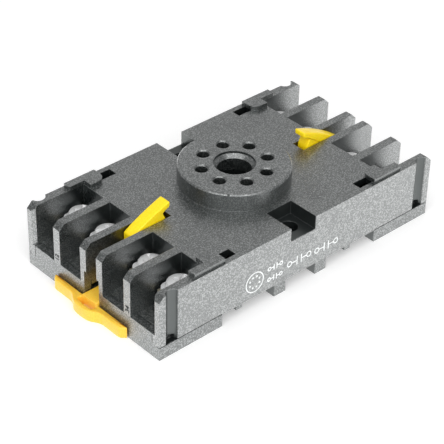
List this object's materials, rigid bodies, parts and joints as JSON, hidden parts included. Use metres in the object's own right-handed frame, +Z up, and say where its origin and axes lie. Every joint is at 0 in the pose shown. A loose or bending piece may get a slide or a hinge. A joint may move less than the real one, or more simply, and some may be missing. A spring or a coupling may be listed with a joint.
{
  "type": "relay socket",
  "caption": "black screw-terminal socket for an octal plug-in relay, with a round pin seat, two yellow release levers and an orange sliding latch for a 35 mm rail",
  "frame": {"origin": "on the axis of the round relay seat, in the plane of the undersides of the feet", "axes": "X along the long side with the rail latch at -X, Y across, Z up out of the relay seat"},
  "size_m": [0.0954, 0.05, 0.023],
  "materials": {
    "black_plastic": "fine moulded texture",
    "orange_plastic": "satin moulded",
    "yellow_plastic": "satin moulded",
    "zinc": "bright zinc plate",
    "contact_brass": "tinned, stamped"
  },
  "bodies": {
    "socket": {"housing": "black_plastic", "base": "black_plastic", "contact_1": "contact_brass", "contact_2": "contact_brass", "contact_3": "contact_brass", "contact_4": "contact_brass", "contact_5": "contact_brass", "contact_6": "contact_brass", "contact_7": "contact_brass", "contact_8": "contact_brass"},
    "latch": {"din_latch": "orange_plastic"},
    "latch_end_lever": {"lever_latch_end": "yellow_plastic"},
    "fixed_end_lever": {"lever_fixed_end": "yellow_plastic"},
    "washer_1": {"clamp_washer_1": "zinc"},
    "screw_1": {"terminal_screw_1": "zinc"},
    "washer_2": {"clamp_washer_2": "zinc"},
    "screw_2": {"terminal_screw_2": "zinc"},
    "washer_3": {"clamp_washer_3": "zinc"},
    "screw_3": {"terminal_screw_3": "zinc"},
    "washer_4": {"clamp_washer_4": "zinc"},
    "screw_4": {"terminal_screw_4": "zinc"},
    "washer_5": {"clamp_washer_5": "zinc"},
    "screw_5": {"terminal_screw_5": "zinc"},
    "washer_6": {"clamp_washer_6": "zinc"},
    "screw_6": {"terminal_screw_6": "zinc"},
    "washer_7": {"clamp_washer_7": "zinc"},
    "screw_7": {"terminal_screw_7": "zinc"},
    "washer_8": {"clamp_washer_8": "zinc"},
    "screw_8": {"terminal_screw_8": "zinc"}
  },
  "joints": [
    {"name": "latch_slide", "type": "slide", "parent": "socket", "child": "latch", "axis": [-1, 0, 0], "range_m": [0, 0.003], "stiffness_N_per_m": 800},
    {"name": "latch_end_lever_pivot", "type": "hinge", "parent": "socket", "child": "latch_end_lever", "pos_m": [-0.03, 0, 0.013], "axis": [0, -1, 0], "range_deg": [0, 20]},
    {"name": "fixed_end_lever_pivot", "type": "hinge", "parent": "socket", "child": "fixed_end_lever", "pos_m": [0.03, 0, 0.013], "axis": [0, 1, 0], "range_deg": [0, 20]},
    {"name": "washer_lift_1", "type": "slide", "parent": "socket", "child": "washer_1", "axis": [0, 0, 1], "range_m": [0, 0.003]},
    {"name": "screw_turn_1", "type": "hinge", "parent": "washer_1", "child": "screw_1", "pos_m": [-0.034, -0.01848, 0.013], "axis": [0, 0, 1], "range_deg": [0, 1800]},
    {"name": "washer_lift_2", "type": "slide", "parent": "socket", "child": "washer_2", "axis": [0, 0, 1], "range_m": [0, 0.003]},
    {"name": "screw_turn_2", "type": "hinge", "parent": "washer_2", "child": "screw_2", "pos_m": [-0.034, -0.00813, 0.013], "axis": [0, 0, 1], "range_deg": [0, 1800]},
    {"name": "washer_lift_3", "type": "slide", "parent": "socket", "child": "washer_3", "axis": [0, 0, 1], "range_m": [0, 0.003]},
    {"name": "screw_turn_3", "type": "hinge", "parent": "washer_3", "child": "screw_3", "pos_m": [-0.034, 0.00813, 0.013], "axis": [0, 0, 1], "range_deg": [0, 1800]},
    {"name": "washer_lift_4", "type": "slide", "parent": "socket", "child": "washer_4", "axis": [0, 0, 1], "range_m": [0, 0.003]},
    {"name": "screw_turn_4", "type": "hinge", "parent": "washer_4", "child": "screw_4", "pos_m": [-0.034, 0.01848, 0.013], "axis": [0, 0, 1], "range_deg": [0, 1800]},
    {"name": "washer_lift_5", "type": "slide", "parent": "socket", "child": "washer_5", "axis": [0, 0, 1], "range_m": [0, 0.003]},
    {"name": "screw_turn_5", "type": "hinge", "parent": "washer_5", "child": "screw_5", "pos_m": [0.034, 0.01848, 0.013], "axis": [0, 0, 1], "range_deg": [0, 1800]},
    {"name": "washer_lift_6", "type": "slide", "parent": "socket", "child": "washer_6", "axis": [0, 0, 1], "range_m": [0, 0.003]},
    {"name": "screw_turn_6", "type": "hinge", "parent": "washer_6", "child": "screw_6", "pos_m": [0.034, 0.00813, 0.013], "axis": [0, 0, 1], "range_deg": [0, 1800]},
    {"name": "washer_lift_7", "type": "slide", "parent": "socket", "child": "washer_7", "axis": [0, 0, 1], "range_m": [0, 0.003]},
    {"name": "screw_turn_7", "type": "hinge", "parent": "washer_7", "child": "screw_7", "pos_m": [0.034, -0.00813, 0.013], "axis": [0, 0, 1], "range_deg": [0, 1800]},
    {"name": "washer_lift_8", "type": "slide", "parent": "socket", "child": "washer_8", "axis": [0, 0, 1], "range_m": [0, 0.003]},
    {"name": "screw_turn_8", "type": "hinge", "parent": "washer_8", "child": "screw_8", "pos_m": [0.034, -0.01848, 0.013], "axis": [0, 0, 1], "range_deg": [0, 1800]}
  ],
  "couplings": [
    {"joint": "screw_turn_1", "follows": "washer_lift_1", "rad_per_m": 10472},
    {"joint": "screw_turn_2", "follows": "washer_lift_2", "rad_per_m": 10472},
    {"joint": "screw_turn_3", "follows": "washer_lift_3", "rad_per_m": 10472},
    {"joint": "screw_turn_4", "follows": "washer_lift_4", "rad_per_m": 10472},
    {"joint": "screw_turn_5", "follows": "washer_lift_5", "rad_per_m": 10472},
    {"joint": "screw_turn_6", "follows": "washer_lift_6", "rad_per_m": 10472},
    {"joint": "screw_turn_7", "follows": "washer_lift_7", "rad_per_m": 10472},
    {"joint": "screw_turn_8", "follows": "washer_lift_8", "rad_per_m": 10472}
  ]
}
